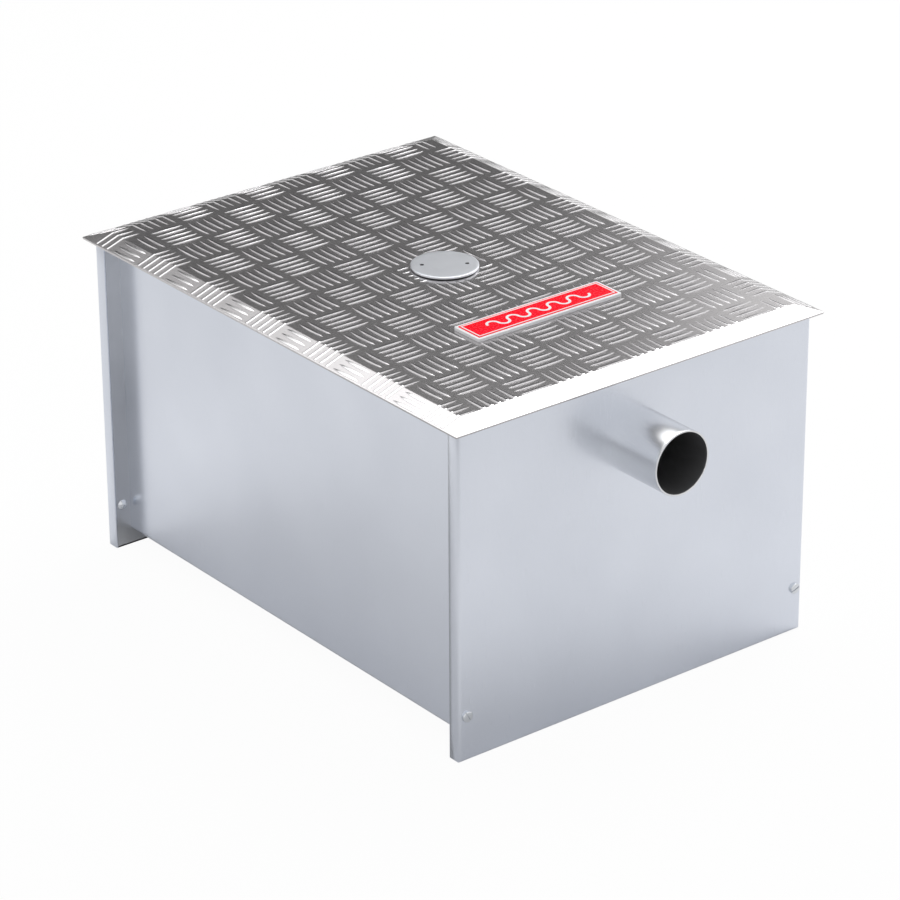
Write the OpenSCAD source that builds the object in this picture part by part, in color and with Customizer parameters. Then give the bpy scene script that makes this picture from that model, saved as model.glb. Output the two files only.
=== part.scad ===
// Under-sink grease trap: a folded stainless tank between two box-edged end panels that reach the
// floor, with a tread-plate lid held by one central clamp screw. The front (-Y) stub is the outlet.

/* [Body] */
// Width of the end panels
body_w = 350; // [320:1:420]
// Length over the faces of the two end panels
body_l = 476; // [450:1:600]
// Height of the tank walls' top edge above the floor
wall_top = 277.5; // [268:0.5:330]
// Thickness of the stainless sheet
sheet = 1.5; // [1:0.1:2]
// Depth of an end panel, from its face to the tank side of its end plate
end_depth = 12; // [9:0.5:18]
// Distance that the tank's side walls are set in from the end panels' edges
side_step = 15; // [13:0.5:22]
// Clear height under the tank
floor_gap = 13; // [6:0.5:24]
// Outer radius of the bends of the tank sheet
bend_r = 4; // [3:0.5:8]

/* [Pipes] */
// Outer diameter of the pipe stubs
pipe_od = 53; // [38:0.2:60.4]
// Wall thickness of the pipe stubs
pipe_wall = 1.5; // [1:0.1:2.5]
// Length that a stub stands out of its end panel
stub_len = 50; // [30:1:90]
// Height of the pipe axis above the floor
pipe_z = 218.5; // [205:0.5:228]
// Length of a stub inside the tank
stub_in = 8; // [4:1:12]
// Width of the shoulder of a stub, which seats on its end panel
stub_shoulder = 0.5; // [0.3:0.1:0.6]
// Centreline radius of the outlet elbow
elbow_r = 40; // [38:1:48]
// Height of the dip tube's open end above the floor
dip_z = 60; // [35:1:90]

/* [Lid] */
// Overhang of the lid's rim beyond the end panels
lid_over = 7.5; // [5:0.5:9]
// Width of the sloping border, seen from above
slope_w = 17; // [13.5:0.5:18]
// Fall of the sloping border
slope_drop = 5.7; // [4:0.1:6.5]
// Thickness of the lid sheet without its bars
lid_sheet = 2; // [1.5:0.1:3]
// Thickness of the lid gasket
gasket_t = 3; // [2.5:0.1:5]
// Width of the lid gasket
gasket_w = 12; // [8:0.5:15]
// Width of the flat frame that the gasket lies on
frame_w = 20; // [18:0.5:26]

/* [Tread bars] */
// Distance between bar groups across the lid
tread_pitch_x = 36.5; // [34:0.1:40]
// Distance between bar groups along the lid
tread_pitch_y = 37.1; // [34:0.1:40]
// Length of a bar
bar_len = 31.5; // [28:0.5:33]
// Width of a bar at its foot
bar_w = 3; // [2:0.1:3.6]
// Height of a bar
bar_h = 0.8; // [0.6:0.1:1.4]
// Distance between the bars of a group
bar_step = 7.4; // [6.5:0.1:8]

/* [Clamp screw] */
// Diameter of the clamp disc
disc_d = 55; // [52:0.5:70]
// Thickness of the clamp disc
disc_t = 1.8; // [1.6:0.1:5]
// Edge radius of the clamp disc
disc_edge_r = 0.8; // [0.4:0.1:1.2]
// Distance between the two spanner holes
spanner_pcd = 36; // [30:1:42]
// Diameter of a spanner hole
spanner_d = 3; // [2:0.1:4.5]
// Diameter of the sealing washer under the disc
washer_d = 46; // [38:0.5:48]
// Thickness of the sealing washer
washer_t = 0.8; // [0.5:0.1:3]
// Diameter of the clamp stud
stud_d = 12; // [10:0.5:14]
// Pitch of the stud's thread
thread_pitch = 1.75; // [1.25:0.05:1.8]
// Number of turns that free the stud from its nut
clamp_turns = 7; // [6:1:7]

/* [Name plate] */
// Length of the name plate
plate_l = 143; // [120:1:170]
// Width of the name plate
plate_w = 31; // [28:0.5:38]
// Thickness of the name plate, which sits on the lid's sheet
plate_t = 2.8; // [2:0.1:5]
// Distance of the name plate's centre in front of the lid's centre
plate_y = 117.6; // [95:0.1:125]

/* [Inside] */
// Distance of the inlet baffle behind the tank's centre
inlet_baffle_y = 105; // [90:1:112]
// Distance of the outlet baffle in front of the tank's centre
outlet_baffle_y = 105; // [80:1:112]
// Height of the inlet baffle's top edge above the floor
inlet_baffle_top = 185; // [140:1:205]
// Height of the outlet baffle's top edge above the floor
outlet_baffle_top = 245; // [205:1:250]
// Width of a baffle guide's lips
guide_lip = 12; // [8:0.5:14]
// Distance between the strainer basket's end walls and the tank's side walls
basket_side = 33.5; // [27.5:0.5:58]
// Width of the strainer basket along the tank
basket_w = 84; // [70:1:88]
// Depth of the strainer basket
basket_h = 105; // [70:1:120]
// Thickness of the basket sheet
basket_sheet = 1.2; // [1:0.1:1.5]
// Diameter of the basket's drain holes
drain_d = 6; // [4:0.5:8]
// Distance between the basket's drain holes
drain_pitch = 22; // [18:1:26]
// Height of the basket's rim below the underside of the inlet stub
basket_drop = 8; // [4:0.5:16]
// Diameter of the basket handle's wire
wire_d = 5; // [4:0.5:6]

/* [Fasteners] */
// Height of the corner screws above the floor
screw_z = 38.5; // [26:0.5:60]
// Thread diameter of a corner screw
screw_d = 5; // [4:0.5:6]
// Head diameter of a corner screw
screw_head_d = 9; // [8:0.2:11]
// Head height of a corner screw
screw_head_h = 2.4; // [1.8:0.1:3]

/* [Hidden] */
$fn = 64;
over = 1; // overrun of every cut

// Planes of the body
half_w = body_w / 2;
half_l = body_l / 2;
wall_x = half_w - side_step;
plate_in_y = half_l - end_depth;
tank_floor = floor_gap + sheet;
inner_x = wall_x - sheet;
frame_y = plate_in_y + sheet;
gasket_in = 3; // set-in of the gasket from the frame's outer edge

// Heights of the lid's layers
frame_top = wall_top + sheet;
lid_under = frame_top + gasket_t;
lid_top = lid_under + lid_sheet;
rim_x = half_w + lid_over;
rim_y = half_l + lid_over;
fold_x = rim_x - slope_w;
fold_y = rim_y - slope_w;
slope_a = atan(slope_drop / slope_w);
slope_len = slope_w / cos(slope_a);

// Tread pattern
bars = 5;
tread_dy = 3.4; // shift of the pattern along the lid
last_column = round(fold_x / tread_pitch_x - 1 / 2);
first_column = -1 - last_column;
last_row = round((fold_y - tread_dy) / tread_pitch_y);
first_row = round((-fold_y - tread_dy) / tread_pitch_y);
bar_root = 0.3; // depth that a bar is sunk into the sheet
edge_bare = 1.4; // bare strip left at the lid's rim
fold_bare = 0.2; // bare strip left on each side of a fold, where a bar bends over it
slope_bars = 3; // bars side by side on the border

// Stiffeners under the lid
stiff_w = 30;
stiff_h = 10;
stiff_y = 160;
stiff_end = 6; // space between a stiffener and the frame

// Clamp screw and bridge
stud_clear = 0.5;
thread_clear = 0.05;
spot_margin = 0.4; // smooth ring of the lid round the disc
spot_r = disc_d / 2 + spot_margin;
disc_z = lid_top + washer_t;
clamp_rise = clamp_turns * thread_pitch;
bridge_t = 4;
bridge_w = 30;
bridge_drop = 20; // from the lid's underside to the bridge
bridge_top = lid_under - bridge_drop;
nut_h = 10;
nut_flats = 19;
tip_free = 0.25; // space between the freed stud and its nut
stud_tip = bridge_top - bridge_t - clamp_rise + tip_free;
tip_chamfer = 1;
retainer_t = 1.5;
retainer_lip = 3.5; // how far the retaining ring stands out of the stud
retainer_lift = 4; // height of the retaining ring above the bridge
retainer_d = stud_d + 2 * retainer_lip;
retainer_z = bridge_top + retainer_lift;
bracket_l = 40;
bracket_d = 14;
bracket_gap = 0.2;
spanner_depth = 1.2;
spanner_turn = -34; // angle at which the disc has come to rest

// Name plate
field_margin = 2.4;
field_t = 0.3;
border_inset = 3.6;
border_line = 1.1;
border_t = 0.15;
plate_corner_r = 1.5;
wave_r = 5; // radius of each arc of the wave, on its centreline
wave_line = 2.2;
wave_arcs = 10;

// Pipes
pipe_r = pipe_od / 2;
bore_r = pipe_r - pipe_wall;
seat_r = pipe_r - stub_shoulder; // outer radius of a stub behind its shoulder, and of the inner tubes
socket_wall = 1.6;
socket_len = 6;

// Baffles
baffle_gap = 0.3;
window_h = 45;
window_side = 55;
grip_l = 80;
grip_h = 22;
grip_drop = 24;

// Basket
basket_y = inlet_baffle_y + sheet + (plate_in_y - inlet_baffle_y - sheet - stub_in) / 2;
basket_l = 2 * (inner_x - basket_side);
basket_lip = 7;
basket_play = 2; // space between the basket's end wall and the edge of its rail
rail_w = basket_side - basket_play;
rail_gap = 4; // space between a rail and the inlet baffle's guide
rail_len = 2 * (basket_y - inlet_baffle_y - 2 * sheet - baffle_gap - rail_gap);
basket_rim = pipe_z - pipe_r - basket_drop;
ear_w = 14;
ear_side = 9; // distance of an ear from the basket's end wall
ear_gap = 1; // space between an ear and the handle's side wire
pivot_clear = 0.1;
handle_lift = 0.4; // height of the resting handle above the basket's rim
handle_z = basket_rim + wire_d / 2 + handle_lift;
handle_over = 6; // how far the handle reaches past the basket's front wall
handle_reach = basket_w / 2 + handle_over;
handle_bend = 10;
ear_x = basket_l / 2 - ear_side;
handle_side = ear_x - ear_gap - wire_d / 2;
pin_end = 2; // length of a pivot end beyond its ear

// Corner screws
screw_x = half_w - side_step / 2;
screw_clear = 0.15;
barrel_wall = 1.2;
barrel_r = screw_d / 2 + barrel_wall;
slot_w = 1.1;
slot_depth = 1;

// Half width of the tank's U section, and a rectangle with two round lower corners
module round_bottom(w, h, r) {
  translate([-w / 2, r]) square([w, h - r]);
  translate([-w / 2 + r, 0]) square([w - 2 * r, r + over / 2]);
  for (s = [-1, 1]) translate([s * (w / 2 - r), r]) circle(r);
}

module tank_shell() {
  color("lightsteelblue")
    translate([0, plate_in_y, floor_gap]) rotate([90, 0, 0])
      linear_extrude(2 * plate_in_y)
        difference() {
          round_bottom(2 * wall_x, wall_top - floor_gap, bend_r);
          translate([0, sheet]) round_bottom(2 * inner_x, wall_top, bend_r - sheet);
        }
}

// Parts of one end lie in front of y = half_l, and are turned round for the front
module at_front() {
  rotate([0, 0, 180]) children();
}

module screw_places() {
  for (s = [-1, 1]) translate([s * screw_x, 0, screw_z]) rotate([-90, 0, 0]) children();
}

module pipe_hole() {
  translate([0, half_l + over, pipe_z]) rotate([90, 0, 0])
    cylinder(h = end_depth + 2 * over, r = seat_r);
}

module end_plate() {
  color("lightgray")
    difference() {
      translate([-half_w + sheet, plate_in_y, 0]) cube([body_w - 2 * sheet, sheet, wall_top]);
      pipe_hole();
      screw_places() cylinder(h = half_l, r = barrel_r + screw_clear);
    }
}

module end_cover() {
  color("gainsboro")
    difference() {
      translate([-half_w, plate_in_y, 0]) cube([body_w, end_depth, wall_top]);
      translate([-half_w + sheet, plate_in_y - over, -over])
        cube([body_w - 2 * sheet, sheet + over, wall_top + 2 * over]);
      translate([-half_w + sheet, plate_in_y, sheet])
        cube([body_w - 2 * sheet, end_depth - sheet, wall_top - 2 * sheet]);
      pipe_hole();
      screw_places() cylinder(h = half_l + over, r = screw_d / 2 + screw_clear);
    }
}

module flat_ring(x, y, w, z, t) {
  difference() {
    translate([-x, -y, z]) cube([2 * x, 2 * y, t]);
    translate([-x + w, -y + w, z - over]) cube([2 * (x - w), 2 * (y - w), t + 2 * over]);
  }
}

module rim_frame() {
  color("silver") flat_ring(wall_x, frame_y, frame_w, wall_top, sheet);
}

module lid_gasket() {
  color("dimgray") flat_ring(wall_x - gasket_in, frame_y - gasket_in, gasket_w, frame_top, gasket_t);
}

// A bar of the tread from a to b along local X: a low roof with its foot in the sheet
module bar(a, b) {
  if (b - a > bar_w)
    translate([a, 0, 0]) rotate([90, 0, 90]) linear_extrude(b - a)
      polygon([[-bar_w / 2, 0], [-bar_w / 2, -bar_root], [bar_w / 2, -bar_root], [bar_w / 2, 0], [0, bar_h]]);
}

function column_x(i) = (i + 1 / 2) * tread_pitch_x;
function row_y(j) = tread_dy + j * tread_pitch_y;
function bar_at(k) = (k - (bars - 1) / 2) * bar_step;
function within(v, limit) = max(-limit, min(limit, v));

// One group of five bars on the flat of the lid, across it when turned is false
module group(i, j, turned) {
  x = column_x(i);
  y = row_y(j);
  half = bar_len / 2;
  flat_x = fold_x - fold_bare;
  flat_y = fold_y - fold_bare;
  for (k = [0 : bars - 1]) {
    s = bar_at(k);
    if (!turned && abs(y + s) < fold_y - bar_w / 2)
      translate([0, y + s, lid_top]) bar(within(x - half, flat_x), within(x + half, flat_x));
    if (turned && abs(x + s) < fold_x - bar_w / 2)
      translate([x + s, 0, lid_top]) rotate([0, 0, 90])
        bar(within(y - half, flat_y), within(y + half, flat_y));
  }
}

function is_turned(i, j) = (i + j) % 2 == 0;
// Groups that the disc's smooth ring or the name plate may cut short
function near_disc(i, j) = norm([column_x(i), row_y(j)]) < spot_r + bar_len;
function near_plate(i, j) =
  abs(column_x(i)) < plate_l / 2 + bar_len && abs(row_y(j) + plate_y) < plate_w / 2 + bar_len;

module flat_groups(near) {
  for (i = [first_column : last_column], j = [first_row : last_row])
    if ((near_disc(i, j) || near_plate(i, j)) == near) group(i, j, is_turned(i, j));
}

// Bars on one sloping border. Local X runs down the slope and local Y along the rim.
// crossing bars run down the slope, the others lie along it.
module border_group(pos, crossing, fold_other) {
  half = bar_len / 2;
  if (crossing)
    for (k = [0 : bars - 1]) {
      s = pos + bar_at(k);
      if (abs(s) < fold_other - bar_w / 2) translate([0, s, 0]) bar(fold_bare, slope_len - edge_bare);
    }
  else
    for (k = [0 : slope_bars - 1]) {
      u = slope_len * (k + 1 / 2) / slope_bars;
      limit = fold_other + u * cos(slope_a) - bar_w;
      translate([u, 0, 0]) rotate([0, 0, 90]) bar(within(pos - half, limit), within(pos + half, limit));
    }
}

module border(side) {
  across = side % 2 == 0; // the border at +X or -X
  turn = [1, -1, -1, 1][side];
  fold = across ? fold_x : fold_y;
  fold_other = across ? fold_y : fold_x;
  edge_i = side == 0 ? last_column : first_column;
  edge_j = side == 1 ? last_row : first_row;
  rotate([0, 0, 90 * side]) {
    translate([fold, 0, lid_top]) rotate([0, slope_a, 0])
      if (across) {
        for (j = [first_row : last_row])
          border_group(turn * row_y(j), !is_turned(edge_i, j), fold_other);
      } else {
        for (i = [first_column : last_column])
          border_group(turn * column_x(i), is_turned(i, edge_j), fold_other);
      }
  }
}

// Sheet of one sloping border, mitred at both ends
module border_sheet(side) {
  across = side % 2 == 0;
  fold = across ? fold_x : fold_y;
  fold_other = across ? fold_y : fold_x;
  lip_x = fold + slope_w;
  lip_y = fold_other + slope_w;
  rotate([0, 0, 90 * side])
    intersection() {
      translate([0, lip_y, 0]) rotate([90, 0, 0]) linear_extrude(2 * lip_y)
        polygon([
          [fold - over, lid_top], [fold, lid_top], [lip_x, lid_top - slope_drop],
          [lip_x - lid_sheet * sin(slope_a), lid_top - slope_drop - lid_sheet * cos(slope_a)],
          [fold - lid_sheet * tan(slope_a / 2), lid_under], [fold - over, lid_under]
        ]);
      translate([0, 0, lid_under - slope_drop - lid_sheet]) linear_extrude(lid_sheet * 2 + slope_drop + over)
        polygon([[0, -fold_other + fold], [lip_x, -lip_y], [lip_x, lip_y], [0, fold_other - fold]]);
    }
}

module lid_plate() {
  color("dimgray")
    difference() {
      union() {
        translate([-fold_x + over / 2, -fold_y + over / 2, lid_under])
          cube([2 * fold_x - over, 2 * fold_y - over, lid_sheet]);
        for (side = [0 : 3]) border_sheet(side);
        for (side = [0 : 3]) border(side);
        flat_groups(false);
        difference() {
          flat_groups(true);
          translate([0, 0, lid_under]) cylinder(h = lid_sheet + 2 * bar_h, r = spot_r);
          translate([-plate_l / 2, -plate_y - plate_w / 2, lid_under])
            cube([plate_l, plate_w, lid_sheet + 2 * bar_h]);
        }
      }
      translate([0, 0, lid_under - over]) cylinder(h = lid_sheet + 2 * over, r = stud_d / 2 + stud_clear);
    }
}

// Hat channel welded under the lid
module lid_stiffener(y) {
  length = 2 * (wall_x - frame_w - stiff_end);
  color("silver")
    translate([-length / 2, y, lid_under]) rotate([90, 0, 90]) linear_extrude(length)
      difference() {
        translate([-stiff_w / 2, -stiff_h]) square([stiff_w, stiff_h]);
        translate([-stiff_w / 4 + sheet, -stiff_h + sheet]) square([stiff_w / 2 - 2 * sheet, stiff_h]);
        for (s = [-1, 1])
          translate([s * (stiff_w * 3 / 8 + over / 2) - stiff_w / 8 - over / 2, -stiff_h - sheet])
            square([stiff_w / 4 + over, stiff_h]);
      }
}

module clamp_disc() {
  color("silver")
    translate([0, 0, disc_z])
      difference() {
        rotate_extrude() {
          square([disc_d / 2, disc_t - disc_edge_r]);
          square([disc_d / 2 - disc_edge_r, disc_t]);
          translate([disc_d / 2 - disc_edge_r, disc_t - disc_edge_r]) circle(disc_edge_r);
        }
        rotate([0, 0, spanner_turn])
          for (s = [-1, 1])
            translate([s * spanner_pcd / 2, 0, disc_t - spanner_depth])
              cylinder(h = spanner_depth + over, r = spanner_d / 2);
      }
}

module clamp_stud() {
  color("gray")
    rotate_extrude()
      polygon([
        [0, stud_tip], [stud_d / 2 - tip_chamfer, stud_tip], [stud_d / 2, stud_tip + tip_chamfer],
        [stud_d / 2, disc_z], [0, disc_z]
      ]);
}

module clamp_retainer() {
  color("darkgray")
    translate([0, 0, retainer_z])
      difference() {
        cylinder(h = retainer_t, r = retainer_d / 2);
        translate([0, 0, -over]) cylinder(h = retainer_t + 2 * over, r = stud_d / 2);
      }
}

module clamp_washer() {
  color("black")
    translate([0, 0, lid_top])
      difference() {
        cylinder(h = washer_t, r = washer_d / 2);
        translate([0, 0, -over]) cylinder(h = washer_t + 2 * over, r = stud_d / 2 + stud_clear);
      }
}

module clamp_bridge() {
  length = 2 * (inner_x - sheet - bracket_gap);
  color("silver")
    difference() {
      translate([-length / 2, -bridge_w / 2, bridge_top - bridge_t]) cube([length, bridge_w, bridge_t]);
      translate([0, 0, bridge_top - bridge_t - over])
        cylinder(h = bridge_t + 2 * over, r = stud_d / 2 + stud_clear);
    }
}

module bridge_nut() {
  color("gray")
    translate([0, 0, bridge_top - bridge_t - nut_h])
      difference() {
        cylinder(h = nut_h, r = nut_flats / 2 / cos(30), $fn = 6);
        translate([0, 0, -over]) cylinder(h = nut_h + 2 * over, r = stud_d / 2 + thread_clear);
      }
}

// Channel on the side wall that the bridge's end slides into
module bridge_bracket(s) {
  slot = bridge_t + bracket_gap;
  color("silver")
    translate([0, bracket_l / 2, 0]) rotate([90, 0, 0]) linear_extrude(bracket_l)
      difference() {
        translate([s > 0 ? inner_x - bracket_d : -inner_x, bridge_top - slot - sheet])
          square([bracket_d, slot + 2 * sheet]);
        translate([s > 0 ? inner_x - bracket_d - over : -inner_x + sheet, bridge_top - slot])
          square([bracket_d - sheet + over, slot]);
      }
}

// Pipe stub: swaged to a slightly smaller size from its end panel inwards
module pipe_stub() {
  length = stub_len + end_depth + stub_in;
  color("silver")
    translate([0, half_l + stub_len, pipe_z]) rotate([90, 0, 0])
      difference() {
        union() {
          cylinder(h = stub_len, r = pipe_r);
          cylinder(h = length, r = seat_r);
        }
        translate([0, 0, -over]) cylinder(h = length + 2 * over, r = bore_r);
      }
}

// Outlet elbow: it slips over the stub's inner end, turns down and slips over the dip tube.
// Its centreline leaves the stub at elbow_y, and its arc has its middle below arc_y.
elbow_y = -plate_in_y + stub_in;
arc_y = elbow_y + sheet;
dip_top = pipe_z - elbow_r - sheet;
module tube_section(r_out, r_in) {
  difference() {
    circle(r_out);
    circle(r_in);
  }
}

// Socket with its seat, opening towards -Z and ending at z = 0
module socket() {
  translate([0, 0, -sheet]) linear_extrude(sheet) tube_section(seat_r + socket_wall, bore_r);
  translate([0, 0, -sheet - socket_len]) linear_extrude(socket_len) tube_section(seat_r + socket_wall, seat_r);
}

module outlet_elbow() {
  color("silver") {
    translate([0, arc_y, pipe_z]) rotate([-90, 0, 0]) socket();
    translate([0, arc_y, pipe_z - elbow_r]) rotate([90, 0, 90])
      rotate_extrude(angle = 90) translate([elbow_r, 0]) tube_section(seat_r, bore_r);
    translate([0, arc_y + elbow_r, pipe_z - elbow_r]) socket();
  }
}

module outlet_dip_tube() {
  color("silver")
    translate([0, arc_y + elbow_r, dip_z])
      linear_extrude(dip_top - dip_z) tube_section(seat_r, bore_r);
}

// Lifting slot with round ends, cut through a baffle
module grip_slot(top) {
  rotate([90, 0, 0]) linear_extrude(sheet + 2 * over) {
    translate([-grip_l / 2 + grip_h / 2, top - grip_drop - grip_h / 2]) square([grip_l - grip_h, grip_h]);
    for (s = [-1, 1]) translate([s * (grip_l - grip_h) / 2, top - grip_drop]) circle(grip_h / 2);
  }
}

module baffle(y, top, window) {
  half = inner_x - sheet - baffle_gap;
  color("lightgray")
    translate([0, y, 0])
      difference() {
        translate([0, sheet, tank_floor]) rotate([90, 0, 0])
          linear_extrude(sheet) round_bottom(2 * half, top - tank_floor, bend_r - sheet);
        translate([0, sheet + over, 0]) grip_slot(top);
        if (window)
          translate([-half + window_side, -over, tank_floor - over])
            cube([2 * (half - window_side), sheet + 2 * over, window_h + over]);
      }
}

// Upright channel on the side wall that holds one edge of a baffle
module baffle_guide(s, y, top) {
  web = sheet + 2 * (baffle_gap + sheet);
  y0 = y - baffle_gap - sheet;
  foot = floor_gap + bend_r;
  color("silver")
    translate([0, 0, foot]) linear_extrude(top - foot)
      difference() {
        translate([s > 0 ? inner_x - guide_lip : -inner_x, y0]) square([guide_lip, web]);
        translate([s > 0 ? inner_x - guide_lip - over : -inner_x + sheet, y0 + sheet])
          square([guide_lip - sheet + over, web - 2 * sheet]);
      }
}

// Angle on the side wall that the basket's rim rests on
module basket_rail(s) {
  color("silver")
    translate([0, basket_y + rail_len / 2, 0]) rotate([90, 0, 0]) linear_extrude(rail_len) {
      translate([s > 0 ? inner_x - rail_w : -inner_x, basket_rim - basket_sheet - sheet])
        square([rail_w, sheet]);
      translate([s > 0 ? inner_x - sheet : -inner_x, basket_rim - basket_sheet - rail_w])
        square([sheet, rail_w]);
    }
}

drain_columns = floor((basket_l - drain_pitch) / drain_pitch);
drain_rows = floor((basket_w - drain_pitch / 2) / drain_pitch);
drain_tiers = floor((basket_h - drain_pitch) / drain_pitch);
module drain_holes() {
  for (i = [0 : drain_columns - 1], j = [0 : drain_rows - 1])
    translate([(i - (drain_columns - 1) / 2) * drain_pitch, (j - (drain_rows - 1) / 2) * drain_pitch, -over])
      cylinder(h = basket_sheet + 2 * over, r = drain_d / 2);
  for (i = [0 : drain_columns - 1], j = [0 : drain_tiers - 1])
    translate([(i - (drain_columns - 1) / 2) * drain_pitch, basket_w / 2 + over, (j + 1) * drain_pitch])
      rotate([90, 0, 0]) cylinder(h = basket_w + 2 * over, r = drain_d / 2);
}

module basket_ear(s) {
  translate([s > 0 ? ear_x : -ear_x - basket_sheet, basket_y, 0]) rotate([90, 0, 90])
    linear_extrude(basket_sheet) {
      translate([-ear_w / 2, basket_rim - basket_sheet]) square([ear_w, handle_z - basket_rim + basket_sheet]);
      translate([0, handle_z])
        difference() {
          circle(ear_w / 2);
          translate([-ear_w, -ear_w - handle_z + basket_rim]) square([2 * ear_w, ear_w]);
        }
    }
}

module strainer_basket() {
  base = basket_rim - basket_h;
  lip_l = basket_l / 2 + basket_lip;
  color("silver")
    difference() {
      union() {
        difference() {
          translate([-basket_l / 2, basket_y - basket_w / 2, base]) cube([basket_l, basket_w, basket_h]);
          translate([-basket_l / 2 + basket_sheet, basket_y - basket_w / 2 + basket_sheet, base + basket_sheet])
            cube([basket_l - 2 * basket_sheet, basket_w - 2 * basket_sheet, basket_h]);
          translate([0, basket_y, base]) drain_holes();
        }
        for (x = [-lip_l, basket_l / 2 - basket_sheet])
          translate([x, basket_y - basket_w / 2, basket_rim - basket_sheet])
            cube([basket_lip + basket_sheet, basket_w, basket_sheet]);
        for (s = [-1, 1])
          translate([s > 0 ? ear_x : -basket_l / 2, basket_y - ear_w / 2, basket_rim - basket_sheet])
            cube([basket_l / 2 - ear_x, ear_w, basket_sheet]);
        for (s = [-1, 1]) basket_ear(s);
      }
      translate([-lip_l, basket_y, handle_z]) rotate([0, 90, 0])
        cylinder(h = 2 * lip_l, r = wire_d / 2 + pivot_clear);
    }
}

// Wire bail lying on the basket: two sides with outward pivot ends, joined by a cross wire
module basket_handle() {
  r = wire_d / 2;
  pin = r + ear_gap + basket_sheet + pin_end;
  color("darkgray")
    translate([0, basket_y, handle_z])
      for (s = [-1, 1]) mirror([s > 0 ? 0 : 1, 0, 0]) {
        translate([handle_side, 0, 0]) sphere(r);
        translate([handle_side, 0, 0]) rotate([0, 90, 0]) cylinder(h = pin, r = r);
        translate([handle_side, 0, 0]) rotate([90, 0, 0]) cylinder(h = handle_reach - handle_bend, r = r);
        translate([handle_side - handle_bend, -handle_reach + handle_bend, 0])
          rotate([0, 0, -90]) rotate_extrude(angle = 90) translate([handle_bend, 0]) circle(r);
        translate([-over / 2, -handle_reach, 0]) rotate([0, 90, 0])
          cylinder(h = handle_side - handle_bend + over / 2, r = r);
      }
}

// Slotted round head, standing on z = 0
module slotted_head() {
  dome_r = (pow(screw_head_d / 2, 2) + pow(screw_head_h, 2)) / (2 * screw_head_h);
  difference() {
    intersection() {
      translate([0, 0, screw_head_h - dome_r]) sphere(dome_r);
      cylinder(h = screw_head_h, r = screw_head_d / 2);
    }
    translate([-screw_head_d, -slot_w / 2, screw_head_h - slot_depth])
      cube([2 * screw_head_d, slot_w, slot_depth + over]);
  }
}

slot_turn = [35, 70, 20, 120];
module cover_screws() {
  color("silver")
    for (end = [0, 1], s = [0, 1])
      rotate([0, 0, 180 * end]) translate([(2 * s - 1) * screw_x, half_l, screw_z]) {
        rotate([-90, 0, 0]) rotate([0, 0, slot_turn[2 * end + s]]) slotted_head();
        rotate([90, 0, 0]) cylinder(h = end_depth - sheet, r = screw_d / 2);
      }
}

module cover_nuts() {
  color("silver")
    for (end = [0, 1], s = [0, 1])
      rotate([0, 0, 180 * end]) translate([(2 * s - 1) * screw_x, plate_in_y, screw_z]) {
        rotate([90, 0, 0]) rotate([0, 0, slot_turn[2 * end + s]]) slotted_head();
        rotate([-90, 0, 0])
          difference() {
            cylinder(h = end_depth - sheet, r = barrel_r);
            translate([0, 0, sheet]) cylinder(h = end_depth, r = screw_d / 2 + thread_clear);
          }
      }
}

module rounded_slab(l, w, t, r) {
  linear_extrude(t) {
    translate([-l / 2 + r, -w / 2]) square([l - 2 * r, w]);
    translate([-l / 2, -w / 2 + r]) square([l, w - 2 * r]);
    for (a = [-1, 1], b = [-1, 1]) translate([a * (l / 2 - r), b * (w / 2 - r)]) circle(r);
  }
}

module name_plate() {
  color("whitesmoke")
    translate([0, -plate_y, lid_top]) rounded_slab(plate_l, plate_w, plate_t, plate_corner_r);
}

field_l = plate_l - 2 * field_margin;
field_w = plate_w - 2 * field_margin;
module plate_field() {
  color("crimson")
    translate([-field_l / 2, -plate_y - field_w / 2, lid_top + plate_t]) cube([field_l, field_w, field_t]);
}

module plate_border() {
  line_l = plate_l / 2 - border_inset;
  line_w = plate_w / 2 - border_inset;
  color("white")
    translate([0, -plate_y, 0]) flat_ring(line_l, line_w, border_line, lid_top + plate_t + field_t, border_t);
}

// Plain wave: half rings that turn up and down by turns
module plate_wave() {
  color("white")
    translate([0, -plate_y, lid_top + plate_t + field_t])
      for (k = [0 : wave_arcs - 1])
        translate([(2 * k - wave_arcs + 1) * wave_r, 0, 0]) rotate([0, 0, k % 2 * 180])
          rotate_extrude(angle = 180) translate([wave_r - wave_line / 2, 0]) square([wave_line, border_t]);
}

tank_shell();
at_front() end_plate();  // front_end_plate
end_plate();  // rear_end_plate
at_front() end_cover();  // front_cover
end_cover();  // rear_cover
rim_frame();
lid_gasket();
lid_plate();
lid_stiffener(-stiff_y);  // lid_stiffener_front
lid_stiffener(stiff_y);  // lid_stiffener_rear
clamp_disc();
clamp_stud();
clamp_retainer();
clamp_washer();
clamp_bridge();
bridge_nut();
bridge_bracket(-1);  // bridge_bracket_left
bridge_bracket(1);  // bridge_bracket_right
at_front() pipe_stub();  // outlet_pipe
pipe_stub();  // inlet_pipe
outlet_elbow();
outlet_dip_tube();
baffle(inlet_baffle_y, inlet_baffle_top, false);  // inlet_baffle
baffle(-outlet_baffle_y, outlet_baffle_top, true);  // outlet_baffle
baffle_guide(-1, inlet_baffle_y, inlet_baffle_top);  // inlet_guide_left
baffle_guide(1, inlet_baffle_y, inlet_baffle_top);  // inlet_guide_right
baffle_guide(-1, -outlet_baffle_y, outlet_baffle_top);  // outlet_guide_left
baffle_guide(1, -outlet_baffle_y, outlet_baffle_top);  // outlet_guide_right
basket_rail(-1);  // basket_rail_left
basket_rail(1);  // basket_rail_right
strainer_basket();
basket_handle();
cover_screws();
cover_nuts();
name_plate();
plate_wave();
plate_field();
plate_border();
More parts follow.
